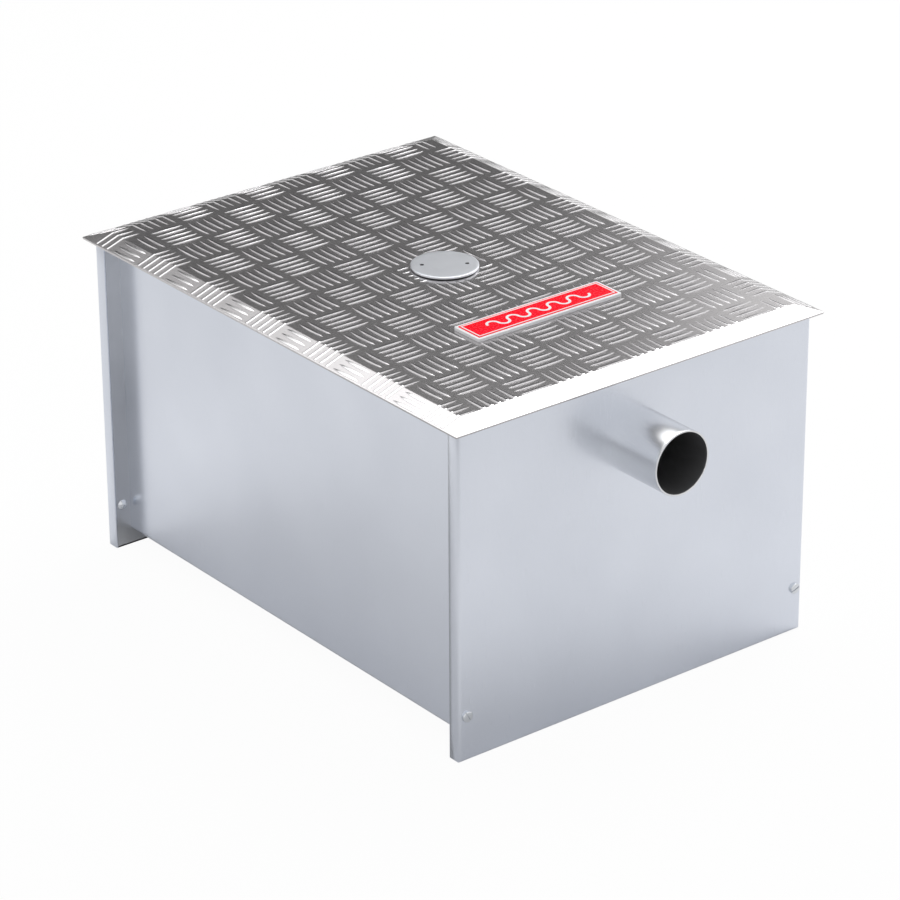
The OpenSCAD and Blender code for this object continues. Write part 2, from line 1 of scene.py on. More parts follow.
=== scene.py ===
"""Looks of a small under-sink grease trap: satin stainless panels, a lid of five-bar tread plate,
a polished clamp disc, bright pipe stubs and a red and white name plate. Lengths are in millimetres,
apart from those of the materials and the studio, which are in metres."""

import math

import bmesh
import bpy
import numpy as np
from mathutils import Matrix, Vector


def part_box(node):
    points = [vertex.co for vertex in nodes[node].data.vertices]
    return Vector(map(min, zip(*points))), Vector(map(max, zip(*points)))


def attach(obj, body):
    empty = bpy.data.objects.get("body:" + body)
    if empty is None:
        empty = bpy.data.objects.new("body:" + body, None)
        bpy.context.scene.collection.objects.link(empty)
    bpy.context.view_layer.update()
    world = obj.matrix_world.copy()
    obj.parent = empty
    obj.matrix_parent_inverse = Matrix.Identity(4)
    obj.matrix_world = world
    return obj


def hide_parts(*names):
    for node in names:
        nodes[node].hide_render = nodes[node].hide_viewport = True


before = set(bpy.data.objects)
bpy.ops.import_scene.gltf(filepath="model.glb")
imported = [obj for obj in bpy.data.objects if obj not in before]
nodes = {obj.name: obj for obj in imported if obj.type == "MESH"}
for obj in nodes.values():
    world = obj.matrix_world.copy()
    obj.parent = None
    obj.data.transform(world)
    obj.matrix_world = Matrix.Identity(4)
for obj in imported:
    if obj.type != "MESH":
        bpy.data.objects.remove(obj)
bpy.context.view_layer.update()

METRES = 0.001


def box_mm(node):
    """Lowest and highest corner of a CAD node, in millimetres."""
    lo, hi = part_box(node)
    return np.array(lo) / METRES, np.array(hi) / METRES


# Camera, fitted to the photograph's straight edges
CAMERA_AZIMUTH = -38.09
CAMERA_ELEVATION = 25.47
CAMERA_ROLL = -0.34
CAMERA_DISTANCE = 3238.8
CAMERA_TARGET = (1.0, -4.2, 124.2)
PICTURE_PIXELS = 900
FOCAL_PIXELS = 3992.3
SENSOR = 36.0
FARTHEST_SEEN = 100.0


def add_camera():
    """The backward axis comes from azimuth and elevation, and the picture is then rolled about it."""
    az, el, roll = (math.radians(a) for a in (CAMERA_AZIMUTH, CAMERA_ELEVATION, CAMERA_ROLL))
    back = Vector((math.sin(az) * math.cos(el), -math.cos(az) * math.cos(el), math.sin(el)))
    right = Vector((0, 0, 1)).cross(back).normalized()
    up = back.cross(right)
    right, up = (
        right * math.cos(roll) + up * math.sin(roll),
        up * math.cos(roll) - right * math.sin(roll),
    )
    place = (Vector(CAMERA_TARGET) + back * CAMERA_DISTANCE) * METRES
    data = bpy.data.cameras.new("camera")
    data.sensor_width = SENSOR
    data.lens = FOCAL_PIXELS / PICTURE_PIXELS * SENSOR
    data.clip_end = FARTHEST_SEEN
    camera = bpy.data.objects.new("camera", data)
    turn = Matrix((right, up, back)).transposed().to_4x4()
    camera.matrix_world = Matrix.Translation(place) @ turn
    bpy.context.scene.collection.objects.link(camera)
    bpy.context.scene.camera = camera


# Materials: noise scales are per metre, and a stretch is a share for each axis
NOISE_LOW = 0.3
NOISE_HIGH = 0.7
EVEN = (1, 1, 1)
UPRIGHT_GRAIN = (60, 60, 1)
CROSS_GRAIN = (1, 30, 30)
PIPE_GRAIN = (70, 1, 70)
FINE_GRAIN = (12, 12, 12)
CLOUD_SCALE = 9
GRAIN_SCALE = 60
GRAIN_ROUGHNESS = 0.65
WAVE_SCALE = 7
WAVE_DEPTH = 0.004
FINE_DEPTH = 0.0002
RUBBER_SCALE = 900
PRINT_SCALE = 40
PEEL_SCALE = 700
PEEL_STRENGTH = 0.02
COAT_ROUGHNESS = 0.08


def new_material(name):
    """A material with its node tree and its shader."""
    material = bpy.data.materials.new(name)
    material.use_nodes = True
    return material, material.node_tree, material.node_tree.nodes["Principled BSDF"]


def wire(tree, kind, **settings):
    """A new node with its settings and input values; the key of an input holds spaces as underscores."""
    node = tree.nodes.new(kind)
    for key, value in settings.items():
        if hasattr(node, key):
            setattr(node, key, value)
        else:
            node.inputs[key.replace("_", " ")].default_value = value
    return node


def object_noise(tree, stretch, scale, detail, roughness=0.5):
    """Noise on Object coordinates, in metres, stretched along each axis by its share."""
    place = wire(tree, "ShaderNodeTexCoord")
    mapping = wire(tree, "ShaderNodeMapping")
    mapping.inputs["Scale"].default_value = stretch
    noise = wire(tree, "ShaderNodeTexNoise", Scale=scale, Detail=detail, Roughness=roughness)
    tree.links.new(place.outputs["Object"], mapping.inputs["Vector"])
    tree.links.new(mapping.outputs["Vector"], noise.inputs["Vector"])
    return noise.outputs["Fac"]


def spread(tree, value, low, high):
    """Maps the values where noise mostly lies, NOISE_LOW to NOISE_HIGH, to low to high."""
    node = wire(tree, "ShaderNodeMapRange")
    ends = {"From Min": NOISE_LOW, "From Max": NOISE_HIGH, "To Min": low, "To Max": high}
    for key, number in ends.items():
        node.inputs[key].default_value = number
    tree.links.new(value, node.inputs["Value"])
    return node.outputs["Result"]


def tint(tree, value, dark, light):
    """Colour between dark and light by a noise value."""
    ramp = wire(tree, "ShaderNodeValToRGB")
    stops = ((NOISE_LOW, dark), (NOISE_HIGH, light))
    for element, (position, colour) in zip(ramp.color_ramp.elements, stops):
        element.position = position
        element.color = (*colour, 1)
    tree.links.new(value, ramp.inputs["Fac"])
    return ramp.outputs["Color"]


def add_bump(tree, shader, layers):
    """Chains one Bump node for each (height, strength, distance in metres) layer."""
    normal = None
    for height, strength, distance in layers:
        bump = wire(tree, "ShaderNodeBump", Strength=strength, Distance=distance)
        tree.links.new(height, bump.inputs["Height"])
        if normal:
            tree.links.new(normal, bump.inputs["Normal"])
        normal = bump.outputs["Normal"]
    tree.links.new(normal, shader.inputs["Normal"])


def steel(name, dark, light, roughness, grain_stretch, grain, waviness=0.0):
    """Stainless steel: cloudy tone, fine grain lines along the axis with the smallest stretch, and
    the slow waviness of thin sheet."""
    material, tree, shader = new_material(name)
    shader.inputs["Metallic"].default_value = 1
    clouds = object_noise(tree, EVEN, CLOUD_SCALE, 2)
    lines = object_noise(tree, grain_stretch, GRAIN_SCALE, 4, GRAIN_ROUGHNESS)
    tree.links.new(tint(tree, clouds, dark, light), shader.inputs["Base Color"])
    tree.links.new(spread(tree, lines, *roughness), shader.inputs["Roughness"])
    layers = [(lines, grain, FINE_DEPTH)]
    if waviness:
        layers.append((object_noise(tree, EVEN, WAVE_SCALE, 1), waviness, WAVE_DEPTH))
    add_bump(tree, shader, layers)
    return material


def satin_steel():
    """Tank and covers: brushed upright, and slightly wavy as thin sheet is."""
    dark, light = (0.7, 0.73, 0.8), (0.75, 0.78, 0.85)
    return steel("satin_steel", dark, light, (0.22, 0.28), UPRIGHT_GRAIN, 0.05, 0.05)


def inner_steel():
    """Duller mill finish of what the tank holds."""
    return steel("inner_steel", (0.52, 0.53, 0.55), (0.62, 0.63, 0.65), (0.32, 0.42), CROSS_GRAIN, 0.1)


def tread_steel():
    """The lid's sheet between the bars."""
    return steel("tread_steel", (0.53, 0.515, 0.52), (0.56, 0.545, 0.55), (0.22, 0.26), FINE_GRAIN, 0.02)


def bar_painted_highlight_steel():
    """Flanks of the tread bars, and the whole bars on the slopes: smoother, and lighter than the sheet as
    a painted highlight.
    """
    return steel("bar_painted_highlight_steel", (0.77, 0.76, 0.77), (0.83, 0.82, 0.83), (0.16, 0.2), FINE_GRAIN, 0.02)


def bar_top_painted_shade_steel():
    """Flat tops of the tread bars on the flat, darker than the sheet as painted shade."""
    return steel("bar_top_painted_shade_steel", (0.4, 0.39, 0.4), (0.45, 0.44, 0.45), (0.2, 0.26), FINE_GRAIN, 0.02)


def polished_steel():
    """Screw heads, nuts, stud and the basket's handle."""
    return steel("polished_steel", (0.64, 0.66, 0.69), (0.7, 0.72, 0.75), (0.14, 0.2), FINE_GRAIN, 0.04)


def disc_steel():
    """The clamp disc, softly polished."""
    return steel("disc_steel", (0.76, 0.78, 0.82), (0.81, 0.83, 0.87), (0.32, 0.38), FINE_GRAIN, 0.03)


def pipe_steel():
    """Outside of the pipe stubs, polished round them."""
    return steel("pipe_steel", (0.7, 0.71, 0.73), (0.8, 0.81, 0.82), (0.22, 0.28), PIPE_GRAIN, 0.05)


def bore_painted_shade_steel():
    """Bores of the pipe stubs and the disc's spanner holes: rough and dull, and far darker than the pipe's
    steel as painted shade in these hollows.
    """
    return steel("bore_painted_shade_steel", (0.24, 0.24, 0.25), (0.29, 0.29, 0.3), (0.5, 0.6), PIPE_GRAIN, 0.05)


def seal_rubber():
    """Matt black rubber with fine specks."""
    material, tree, shader = new_material("seal_rubber")
    specks = object_noise(tree, EVEN, RUBBER_SCALE, 2)
    colour = tint(tree, specks, (0.012, 0.012, 0.012), (0.03, 0.03, 0.03))
    tree.links.new(colour, shader.inputs["Base Color"])
    tree.links.new(spread(tree, specks, 0.6, 0.75), shader.inputs["Roughness"])
    add_bump(tree, shader, [(specks, 0.2, FINE_DEPTH)])
    return material


def enamel(name, dark, light, gloss=0.5, coat=0.4):
    """Glossy printed plastic with a faint orange-peel surface."""
    material, tree, shader = new_material(name)
    clouds = object_noise(tree, EVEN, PRINT_SCALE, 2)
    peel = object_noise(tree, EVEN, PEEL_SCALE, 1)
    tree.links.new(tint(tree, clouds, dark, light), shader.inputs["Base Color"])
    tree.links.new(spread(tree, peel, 0.22, 0.3), shader.inputs["Roughness"])
    shader.inputs["Specular IOR Level"].default_value = gloss
    shader.inputs["Coat Weight"].default_value = coat
    shader.inputs["Coat Roughness"].default_value = COAT_ROUGHNESS
    add_bump(tree, shader, [(peel, PEEL_STRENGTH, FINE_DEPTH)])
    return material


def plate_white():
    """The name plate's body, its frame line and its wave."""
    return enamel("plate_white", (0.91, 0.92, 0.945), (0.96, 0.965, 0.98))


def plate_red():
    """The name plate's field."""
    return enamel("plate_red", (0.98, 0.001, 0.015), (1, 0.003, 0.025), gloss=0.2, coat=0)


MAKERS = (
    satin_steel, inner_steel, tread_steel, bar_painted_highlight_steel, bar_top_painted_shade_steel, polished_steel, disc_steel,
    pipe_steel, bore_painted_shade_steel, seal_rubber, plate_white, plate_red,
)
materials = {maker.__name__: maker() for maker in MAKERS}


# Mesh helpers


def grid_quads(rows, columns, closed_rows=False, closed_columns=False):
    """Quads of a grid of points kept row by row. A closed direction joins its last line to its first."""
    r, c = np.meshgrid(
        np.arange(rows if closed_rows else rows - 1),
        np.arange(columns if closed_columns else columns - 1),
        indexing="ij",
    )
    r2, c2 = (r + 1) % rows, (c + 1) % columns
    quads = [r * columns + c, r * columns + c2, r2 * columns + c2, r2 * columns + c]
    return np.stack(quads, -1).reshape(-1, 4)


def signed_volume(points, quads):
    """Volume inside closed quads, positive where they face outwards: each quad is two triangles, and a
    triangle adds a sixth of the triple product of its corners."""
    a, b, c, d = (points[quads[:, k]] for k in range(4))
    first = np.einsum("ij,ij->i", a, np.cross(b, c)).sum()
    second = np.einsum("ij,ij->i", a, np.cross(c, d)).sum()
    return (first + second) / 6


def outward(points, quads):
    """The same quads, turned round if they face inwards."""
    centred = points - points.mean(0)
    return quads if signed_volume(centred, quads) > 0 else quads[:, ::-1]


def oriented(points, faces):
    """Faces of a closed mesh, each made to run against its neighbours and all of them outwards."""
    work = bmesh.new()
    verts = [work.verts.new(p) for p in points]
    for face in faces:
        work.faces.new([verts[i] for i in face])
    work.verts.index_update()
    bmesh.ops.recalc_face_normals(work, faces=work.faces)
    result = [[v.index for v in face.verts] for face in work.faces]
    work.free()
    return result


SHARP_ANGLE = 50
LID_SHARP_ANGLE = 20


def add_piece(
    name, points, faces, material_names, body, replaced, face_materials=None, sharp=SHARP_ANGLE
):
    """A finished piece from points in millimetres and a list of faces. Its place is in its mesh."""
    mesh = bpy.data.meshes.new(name)
    mesh.from_pydata((points * METRES).tolist(), [], faces)
    for material in material_names:
        mesh.materials.append(materials[material])
    if face_materials is not None:
        mesh.polygons.foreach_set("material_index", face_materials)
    mesh.polygons.foreach_set("use_smooth", np.ones(len(mesh.polygons), bool))
    mesh.set_sharp_from_angle(angle=math.radians(sharp))
    mesh.update()
    piece = bpy.data.objects.new(name, mesh)
    bpy.context.scene.collection.objects.link(piece)
    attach(piece, body)
    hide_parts(*replaced)


def arc(centre_a, centre_b, radius, start, end, steps):
    """Points of an arc in a plane: (a, b) = centre + radius (cos t, sin t), with t in degrees."""
    t = np.radians(np.linspace(start, end, steps))
    return np.stack([centre_a + radius * np.cos(t), centre_b + radius * np.sin(t)], -1)


def rounded_outline(half_a, half_b, radius, corner_steps, edge_steps):
    """Closed outline of a rectangle with round corners: each corner's arc, then evenly spaced points along
    the edge after it."""
    corners = ((1, 1, 0), (-1, 1, 90), (-1, -1, 180), (1, -1, 270))
    arcs = [
        arc(a * (half_a - radius), b * (half_b - radius), radius, t, t + 90, corner_steps)
        for a, b, t in corners
    ]
    share = np.linspace(0, 1, edge_steps + 2)[1:-1, None]
    parts = []
    for here, after in zip(arcs, arcs[1:] + arcs[:1]):
        parts += [here, here[-1] * (1 - share) + after[0] * share]
    return np.concatenate(parts)


# Lid of tread plate
lid_high = box_mm("lid_plate")[1]
plate_low, plate_high = box_mm("name_plate")
BAR_HEIGHT = 0.8
LID_SHEET = 2.0
LID_TOP = box_mm("lid_gasket")[1][2] + LID_SHEET
SLOPE_WIDTH = 17.0
SLOPE_DROP = 5.7
SLOPE_ANGLE = math.atan2(SLOPE_DROP, SLOPE_WIDTH)
SLOPE_LENGTH = math.hypot(SLOPE_DROP, SLOPE_WIDTH)
FOLD_X = lid_high[0] - SLOPE_WIDTH
FOLD_Y = lid_high[1] - SLOPE_WIDTH
FOLD_RADIUS = 2.5
RIM_RADIUS = 0.5
STUD_HOLE_RADIUS = 6.5
LID_CORNER_RADIUS = 0.6
PITCH_X = 36.5
PITCH_Y = 37.1
PATTERN_SHIFT = 3.4
BAR_LENGTH = 31.5
BAR_WIDTH = 3.0
BAR_STEP = 7.4
BAR_ROOT = 0.12
BAR_CROWN = 12
GROUP_BARS = 5
SLOPE_BARS = 3
EDGE_BARE = 1.4
SLOPE_PRESS = 0.4
SPOT_RADIUS = 27.9
FOLD_NEAR = 0.6
CUT_SHARE = 0.3
PLATE_HOLD = 0.4
SHORTEST_BAR = 0.6
WIDTH_POWER = 0.7
HEIGHT_POWER = 0.5
BAR_RINGS = 7
FLAT_RINGS = 4
LEAST_FLAT_SHARE = 0.02
SECTION_SHARES = np.array([-1, -0.95, -0.87, -0.76, -0.66, 0.66, 0.76, 0.87, 0.95, 1])
TOP_SHARE = 0.8
FOLD_STEPS = 5
RIM_STEPS = 4
FLAT_LOOP = 3.0
NEAR_LOOP = 0.8
LID_CORNER_STEPS = 5
LID_SIDE_STEPS = 10


def lid_profile():
    """Section of the lid's sheet as (distance beyond the fold, height): flat, an arc that touches flat and
    slope, the slope, an arc at each edge of the rim, and back along the underside to the fold. A loop
    beside each arc keeps the flats flat."""
    a = SLOPE_ANGLE
    tangent = FOLD_RADIUS * math.tan(a / 2)
    start = np.array([[-tangent - FLAT_LOOP, LID_TOP], [-tangent - NEAR_LOOP, LID_TOP]])
    fold = arc(-tangent, LID_TOP - FOLD_RADIUS, FOLD_RADIUS, 90, 90 - math.degrees(a), FOLD_STEPS)
    down = np.array([math.cos(a), -math.sin(a)])
    out = np.array([math.sin(a), math.cos(a)])
    rim = np.array([SLOPE_WIDTH, LID_TOP - SLOPE_DROP])
    t = np.radians(np.linspace(90, 0, RIM_STEPS))[:, None]
    upper = rim + RIM_RADIUS * (-down - out + np.cos(t) * down + np.sin(t) * out)
    t = t[::-1]
    lower = rim - LID_SHEET * out + RIM_RADIUS * (-down + out + np.cos(t) * down - np.sin(t) * out)
    inner = np.array([[-LID_SHEET * math.tan(a / 2), LID_TOP - LID_SHEET]])
    loop = NEAR_LOOP * down
    slope = np.array([fold[-1] + loop, upper[0] - loop])
    under = np.array([lower[-1] - loop, inner[0] + loop])
    return np.concatenate([start, fold, slope, upper, lower, under, inner, inner - [NEAR_LOOP, 0]])


def lid_sheet():
    """Rings round the lid: the stud's hole at the top, the fold's outline grown by each step of the
    profile, and the hole at the underside."""
    rings = []
    for step, height in lid_profile():
        outline = rounded_outline(
            FOLD_X + step, FOLD_Y + step, LID_CORNER_RADIUS, LID_CORNER_STEPS, LID_SIDE_STEPS
        )
        rings.append(np.column_stack([outline, np.full(len(outline), height)]))
    angle = np.arctan2(rings[0][:, 1], rings[0][:, 0])
    hole = STUD_HOLE_RADIUS * np.stack([np.cos(angle), np.sin(angle)], -1)
    for height in (LID_TOP, LID_TOP - LID_SHEET):
        rings.append(np.column_stack([hole, np.full(len(hole), height)]))
    rings = rings[-2:-1] + rings[:-2] + rings[-1:]
    points = np.concatenate(rings)
    quads = grid_quads(len(rings), len(rings[0]), closed_rows=True, closed_columns=True)
    return points, outward(points, quads)


def folded(points, side):
    """Lays unfolded points (x, y, height over the sheet) on the lid: what lies past the fold of one side
    turns down with its slope, and heights are taken at right angles to the sheet. Bars are pressed
    flatter there by SLOPE_PRESS. Side 0 to 3 is +X, +Y, -X, -Y."""
    axis, sign = side % 2, (1, 1, -1, -1)[side]
    fold = (FOLD_X, FOLD_Y)[axis]
    beyond = np.maximum(points[..., axis] * sign - fold, 0)
    near = np.clip((points[..., axis] * sign - fold) / (2 * FOLD_NEAR) + 0.5, 0, 1)
    tilt = SLOPE_ANGLE * near
    height = points[..., 2] * np.where(points[..., 2] > 0, 1 - SLOPE_PRESS * near, 1)
    placed = points.copy()
    placed[..., axis] -= sign * (beyond * (1 - math.cos(SLOPE_ANGLE)) - height * np.sin(tilt))
    placed[..., 2] = LID_TOP - beyond * math.sin(SLOPE_ANGLE) + height * np.cos(tilt)
    return placed


def bar_stations(start, end, kept, fold):
    """Places of a bar's rings and their u, which is -1 and 1 at the pointed ends. What isn't kept is cut
    off square. A bar that crosses a fold has a ring just on each side of it, and is cut square at the
    rim, where u has reached CUT_SHARE."""
    if -fold <= start and end <= fold:
        step = (kept[1] - kept[0]) / (BAR_RINGS + 1)
        first = kept[0] + step * (kept[0] == start)
        last = kept[1] - step * (kept[1] == end)
        places = np.linspace(first, last, BAR_RINGS)
        return places, 2 * (places - start) / (end - start) - 1
    point, cut, sign = (start, end, 1) if end > fold else (end, start, -1)
    flat = max((fold - FOLD_NEAR - point * sign) / (end - start), LEAST_FLAT_SHARE)
    slope = (fold + FOLD_NEAR - point * sign) / (end - start)
    before = np.linspace(0, flat, FLAT_RINGS + 1)[1:]
    share = np.concatenate([before, np.linspace(slope, 1, BAR_RINGS - FLAT_RINGS)])
    places, u = point + share * (cut - point), (1 + CUT_SHARE) * share - 1
    return places[::sign], u[::sign]


def bar_points(start, end, kept, place, along, fold):
    """A lens-shaped bar from start to end along one axis, at place on the other. With u from -1 to 1 along
    it and v across it, its width follows 1 less u squared to the power WIDTH_POWER, and its height that
    to the power HEIGHT_POWER, times 1 less v to the power BAR_CROWN. Its root lies below the sheet."""
    stations, u = bar_stations(start, end, kept, fold)
    u = u[:, None]
    v = SECTION_SHARES[None, :]
    across = place + BAR_WIDTH / 2 * (1 - u**2) ** WIDTH_POWER * v
    crest = np.minimum(1, (end - start) / (BAR_LENGTH / 2))
    length_shape = (1 - u**2) ** HEIGHT_POWER
    width_shape = 1 - np.abs(v) ** BAR_CROWN
    height = (BAR_HEIGHT * crest + BAR_ROOT) * length_shape * width_shape - BAR_ROOT
    rings = np.stack(np.broadcast_arrays(stations[:, None], across, height), -1).reshape(-1, 3)
    ends = np.array([[kept[0], place, -BAR_ROOT / 2], [kept[1], place, -BAR_ROOT / 2]])
    points = np.concatenate([rings, ends])
    return points if along == 0 else points[:, [1, 0, 2]]


def bar_faces():
    """Quads between a bar's rings, closed under it, a fan of triangles at each pointed end, and which of
    the quads are on the bar's flat top."""
    count = len(SECTION_SHARES)
    quads = grid_quads(BAR_RINGS, count, closed_columns=True)
    k = np.arange(count)
    last = (BAR_RINGS - 1) * count
    first_end, last_end = BAR_RINGS * count, BAR_RINGS * count + 1
    near = np.stack([(k + 1) % count, k, np.full(count, first_end)], -1)
    far = np.stack([last + k, last + (k + 1) % count, np.full(count, last_end)], -1)
    middles = (SECTION_SHARES + np.roll(SECTION_SHARES, -1)) / 2
    on_top = (np.abs(middles) < TOP_SHARE) & (k < count - 1)
    return quads, np.concatenate([near, far]), np.tile(on_top, BAR_RINGS - 1)


def spot_pieces(start, end, place, middle_along, middle_across):
    """A bar without what lies in the smooth round spot under the clamp disc."""
    offset = abs(place - middle_across)
    if offset >= SPOT_RADIUS:
        return [(start, end)]
    chord = math.sqrt(SPOT_RADIUS**2 - offset**2)
    low, high = middle_along - chord, middle_along + chord
    pieces = [(start, min(end, low)), (max(start, high), end)]
    return [(a, b) for a, b in pieces if b - a > BAR_WIDTH]


def plate_ranges(start, end, place, along):
    """What is kept of a bar that runs against the name plate: it goes on for PLATE_HOLD into its side."""
    if not plate_low[1 - along] < place < plate_high[1 - along]:
        return [(start, end)]
    low, high = plate_low[along] + PLATE_HOLD, plate_high[along] - PLATE_HOLD
    ranges = [(start, min(end, low)), (max(start, high), end)]
    return [(a, b) for a, b in ranges if b - a > SHORTEST_BAR]


def tread_bars():
    """Every bar as (start, end, kept range, place, axis along it, side of the lid whose fold it follows).
    Groups of five run along X and Y by turns, like a chessboard."""
    last_column = round(FOLD_X / PITCH_X - 1 / 2)
    last_row = round((FOLD_Y - PATTERN_SHIFT) / PITCH_Y)
    first_row = round((-FOLD_Y - PATTERN_SHIFT) / PITCH_Y)
    columns = range(-1 - last_column, last_column + 1)
    rows = range(first_row, last_row + 1)
    folds = (FOLD_X, FOLD_Y)
    bars = []
    for column in columns:
        for row in rows:
            centre = ((column + 1 / 2) * PITCH_X, PATTERN_SHIFT + row * PITCH_Y)
            along = 1 if (column + row) % 2 == 0 else 0
            for k in range(GROUP_BARS):
                place = centre[1 - along] + (k - (GROUP_BARS - 1) / 2) * BAR_STEP
                if abs(place) >= folds[1 - along] - BAR_WIDTH / 2:
                    continue
                bars += group_bar(centre[along], place, along, folds[along])
    for side in range(4):
        bars += slope_bars(side, columns, rows, folds)
    return bars


def group_bar(middle, place, along, fold):
    """A bar of a group on the flat. One that reaches the fold runs on to the rim."""
    start, end = middle - BAR_LENGTH / 2, middle + BAR_LENGTH / 2
    reach = fold + SLOPE_LENGTH - EDGE_BARE
    side = along
    if end > fold:
        end = reach
    if start < -fold:
        start = -reach
        side = along + 2
    return [
        (a, b, kept, place, along, side)
        for a, b in spot_pieces(start, end, place, 0, 0)
        for kept in plate_ranges(a, b, place, along)
    ]


def slope_bars(side, columns, rows, folds):
    """Bars that lie along a rim, three beside each group whose own bars don't cross the fold."""
    axis, sign = side % 2, (1, 1, -1, -1)[side]
    edge = (max(columns), max(rows), min(columns), min(rows))[side]
    bars = []
    for index in rows if axis == 0 else columns:
        column, row = (edge, index) if axis == 0 else (index, edge)
        along = 1 if (column + row) % 2 == 0 else 0
        if along == axis:
            continue
        middle = PATTERN_SHIFT + index * PITCH_Y if axis == 0 else (index + 1 / 2) * PITCH_X
        for k in range(SLOPE_BARS):
            down = SLOPE_LENGTH * (k + 1 / 2) / SLOPE_BARS
            limit = folds[1 - axis] + down * math.cos(SLOPE_ANGLE) - BAR_WIDTH
            start = max(middle - BAR_LENGTH / 2, -limit)
            end = min(middle + BAR_LENGTH / 2, limit)
            if end - start > BAR_WIDTH:
                bars.append((start, end, (start, end), sign * (folds[axis] + down), 1 - axis, side))
    return bars


def add_lid():
    """The sheet and its bars in one mesh: the bars' tops on the flat in a darker steel as painted shade,
    and the rest of the bars in a lighter steel as a painted highlight.
    """
    sheet_points, sheet_quads = lid_sheet()
    quads, fans, on_top = bar_faces()
    points, faces = [sheet_points], [sheet_quads.tolist()]
    face_materials = [np.zeros(len(sheet_quads), int)]
    count = len(sheet_points)
    for start, end, kept, place, along, side in tread_bars():
        bar = folded(bar_points(start, end, kept, place, along, (FOLD_X, FOLD_Y)[along]), side)
        faces.append((quads if along == 1 else quads[:, ::-1]) + count)
        faces.append((fans if along == 1 else fans[:, ::-1]) + count)
        points.append(bar)
        count += len(bar)
        middles = np.abs(bar[quads].mean(1))
        on_flat = (middles[:, 0] < FOLD_X) & (middles[:, 1] < FOLD_Y)
        # Bar tops on the flat get the darker painted-shade steel; flanks, ends and the bars on the slopes
        # get the lighter painted-highlight steel.
        face_materials += [np.where(on_top & on_flat, 2, 1), np.ones(len(fans), int)]
    all_faces = faces[0] + [f for part in faces[1:] for f in part.tolist()]
    add_piece(
        "lid_tread", np.concatenate(points), all_faces, ("tread_steel", "bar_painted_highlight_steel", "bar_top_painted_shade_steel"),
        "trap", ("lid_plate",), np.concatenate(face_materials), LID_SHARP_ANGLE,
    )


# End covers
COVER_BEND = 2.2
COVER_SHEET = 1.5
COVER_CORNER = 0.4
COVER_CORNER_STEPS = 3
COVER_SIDE_STEPS = 12
BEND_STEPS = 6
BEND_LOOP = 1.0
FACE_LOOP = 4.0
EDGE_BREAK = 0.2
PIPE_RADIUS = 26.5
PIPE_BORE = 25.0


def cover_profile(depth):
    """Section of a cover's edge as (distance in from its outline, distance behind its face): face, a
    quarter arc for the bend, return, its end, and the inside of the sheet back to the face."""
    bend = np.radians(np.linspace(90, 0, BEND_STEPS))
    inner = COVER_BEND - COVER_SHEET
    loop = COVER_BEND + BEND_LOOP
    end = depth - EDGE_BREAK
    outer_arc = np.stack([COVER_BEND * (1 - np.cos(bend)), COVER_BEND * (1 - np.sin(bend))], -1)
    inner_arc = np.stack([COVER_BEND - inner * np.cos(bend), COVER_BEND - inner * np.sin(bend)], -1)[::-1]
    start = [[COVER_BEND + FACE_LOOP, 0], [loop, 0]]
    side = [[0, loop], [0, end], [EDGE_BREAK, depth], [COVER_SHEET - EDGE_BREAK, depth]]
    inside = [[COVER_SHEET, end], [COVER_SHEET, loop]]
    return np.concatenate([start, outer_arc, side, inside, inner_arc, [[loop, COVER_SHEET]]])


def add_cover(name, node, sign):
    """A cover pan: the outline of its face, shrunk and pushed back by each step of its profile, and the
    pipe's hole inside the first and last ring. The sign is -1 for the front and 1 for the rear."""
    low, high = box_mm(node)
    face = high[1] if sign > 0 else -low[1]
    depth = high[1] - low[1]
    hole = np.array([0, box_mm("outlet_pipe")[0][2] + PIPE_RADIUS])
    middle = np.array([0, (low[2] + high[2]) / 2])
    rings = []
    half = (high[2] - low[2]) / 2
    for step, behind in cover_profile(depth):
        outline = rounded_outline(
            high[0] - step, half - step, COVER_CORNER, COVER_CORNER_STEPS, COVER_SIDE_STEPS
        )
        rings.append(np.insert(outline + middle, 1, face - behind, axis=1))
    from_hole = rings[0][:, [0, 2]] - hole
    angle = np.arctan2(from_hole[:, 1], from_hole[:, 0])
    rim = hole + PIPE_BORE * np.stack([np.cos(angle), np.sin(angle)], -1)
    rings.insert(0, np.insert(rim, 1, face, axis=1))
    rings.append(np.insert(rim, 1, face - COVER_SHEET, axis=1))
    points = np.concatenate(rings) * [1, sign, 1]
    quads = grid_quads(len(rings), len(rim), closed_rows=True, closed_columns=True)
    faces = outward(points, quads).tolist()
    add_piece(name, points, faces, ("satin_steel",), "trap", (node,))


# Pipe stubs
TUBE_STEPS = 128
TUBE_EDGE = 0.35
TUBE_EDGE_STEPS = 4
TUBE_FOOT = 3.0
TUBE_LIP = 1.5


def turned_tube(profile, centre):
    """A closed profile of (radius, place along Y) carried round the axis along Y through the centre: x is
    the radius times the sine of the turn, and z the radius times its cosine."""
    t = np.linspace(0, 2 * math.pi, TUBE_STEPS, endpoint=False)[None, :]
    radius, along = profile[:, :1], profile[:, 1:]
    x, z = radius * np.sin(t), radius * np.cos(t)
    points = np.stack([x, np.broadcast_to(along, x.shape), z], -1).reshape(-1, 3) + centre
    quads = grid_quads(len(profile), TUBE_STEPS, closed_rows=True, closed_columns=True)
    return points, outward(points, quads)


def tube_profile(start, end):
    """Section of a tube's wall as (radius, place along it): outside, bore, and a quarter arc at each of
    its four edges."""
    e, steps = TUBE_EDGE, TUBE_EDGE_STEPS
    return np.concatenate([
        [[PIPE_RADIUS, start + TUBE_FOOT], [PIPE_RADIUS, end - TUBE_LIP]],
        arc(PIPE_RADIUS - e, end - e, e, 0, 90, steps),
        arc(PIPE_BORE + e, end - e, e, 90, 180, steps),
        [[PIPE_BORE, end - TUBE_LIP], [PIPE_BORE, start + TUBE_FOOT]],
        arc(PIPE_BORE + e, start + e, e, 180, 270, steps),
        arc(PIPE_RADIUS - e, start + e, e, 270, 360, steps),
    ])


